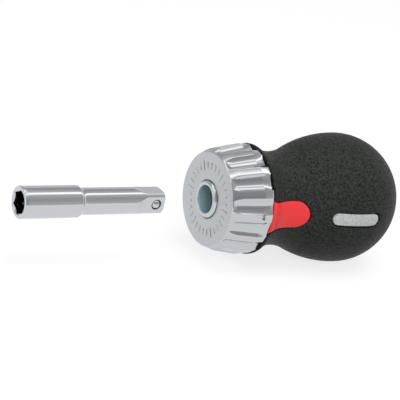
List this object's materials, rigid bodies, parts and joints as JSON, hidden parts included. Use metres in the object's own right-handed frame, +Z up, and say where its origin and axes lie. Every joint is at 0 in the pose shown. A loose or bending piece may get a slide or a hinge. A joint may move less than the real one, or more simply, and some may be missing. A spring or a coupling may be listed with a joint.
{
  "type": "ratchet screwdriver",
  "caption": "Stubby ratchet screwdriver with a soft ball handle, a fluted selector ring and a plug-in hex bit-holder blade drawn out of its spindle.",
  "frame": {"origin": "on the surface that the ball handle lies on, under the middle of the tool's drawn-out length", "axes": "+X along the tool from the bit tip to the ball end, -Y out of the marked side with the red tongue and the label, +Z up"},
  "size_m": [0.128, 0.0398, 0.04],
  "materials": {
    "chrome_plate": "polished chrome plate on steel",
    "ring_chrome": "chrome plate, satin on the front face and polished in the flutes",
    "spring_steel": "bright hardened steel",
    "machined_steel": "machined steel, lightly oiled",
    "dark_steel": "blackened steel",
    "bronze": "sintered bearing bronze",
    "red_plastic": "moulded red plastic, half gloss",
    "black_grip": "soft-touch black elastomer with a fine grain",
    "grey_label": "pale grey matte plastic, finely grained"
  },
  "bodies": {
    "handle": {"handle_core": "red_plastic", "soft_grip": "black_grip", "label_plate": "grey_label", "ratchet_body": "machined_steel", "front_plate": "machined_steel", "plate_screw_1": "dark_steel", "plate_screw_2": "dark_steel", "ring_retainer": "dark_steel", "lock_pin": "dark_steel", "bearing_bush": "bronze", "thrust_washer": "bronze", "pawl_pin_1": "dark_steel", "pawl_pin_2": "dark_steel", "click_spring": "spring_steel"},
    "selector": {"selector_ring": "ring_chrome", "plunger_spring_1": "spring_steel", "plunger_spring_2": "spring_steel"},
    "plunger_1": {"plunger_1": "spring_steel"},
    "plunger_2": {"plunger_2": "spring_steel"},
    "pawl_1": {"pawl_1": "machined_steel"},
    "pawl_2": {"pawl_2": "machined_steel"},
    "click_ball": {"click_ball": "spring_steel"},
    "spindle": {"drive_spindle": "chrome_plate", "ratchet_gear": "machined_steel"},
    "blade": {"blade_shank": "chrome_plate", "bit_magnet": "dark_steel", "bit_clip": "spring_steel", "blade_ball_spring": "spring_steel"},
    "blade_ball": {"blade_ball": "spring_steel"}
  },
  "joints": [
    {"name": "selector_turn", "type": "hinge", "parent": "handle", "child": "selector", "pos_m": [0.0054, 0, 0.02], "axis": [1, 0, 0], "range_deg": [-24, 24]},
    {"name": "pawl_1_rock", "type": "hinge", "parent": "handle", "child": "pawl_1", "pos_m": [0.0054, -0.0097, 0.02], "axis": [1, 0, 0], "range_deg": [-10, 10]},
    {"name": "pawl_2_rock", "type": "hinge", "parent": "handle", "child": "pawl_2", "pos_m": [0.0054, 0.0097, 0.02], "axis": [1, 0, 0], "range_deg": [-10, 10]},
    {"name": "plunger_1_press", "type": "slide", "parent": "selector", "child": "plunger_1", "axis": [0, -1, 0], "range_m": [0, 0.0005], "stiffness_N_per_m": 400, "deforming": ["plunger_spring_1"]},
    {"name": "plunger_2_press", "type": "slide", "parent": "selector", "child": "plunger_2", "axis": [0, 1, 0], "range_m": [0, 0.0005], "stiffness_N_per_m": 400, "deforming": ["plunger_spring_2"]},
    {"name": "click_press", "type": "slide", "parent": "handle", "child": "click_ball", "axis": [0, 0, -1], "range_m": [0, 0.0005], "stiffness_N_per_m": 600, "deforming": ["click_spring"]},
    {"name": "spindle_turn", "type": "hinge", "parent": "handle", "child": "spindle", "pos_m": [0.0054, 0, 0.02], "axis": [1, 0, 0], "continuous": true},
    {"name": "blade_slide", "type": "slide", "parent": "spindle", "child": "blade", "axis": [1, 0, 0], "range_m": [0, 0.0341]},
    {"name": "blade_ball_press", "type": "slide", "parent": "blade", "child": "blade_ball", "axis": [0, 0.9976, 0.0698], "range_m": [0, 0.0006], "stiffness_N_per_m": 500, "deforming": ["blade_ball_spring"]}
  ],
  "couplings": [
    {"joint": "pawl_1_rock", "follows": "selector_turn", "ratio": 0.41667},
    {"joint": "pawl_2_rock", "follows": "selector_turn", "ratio": 0.41667}
  ]
}
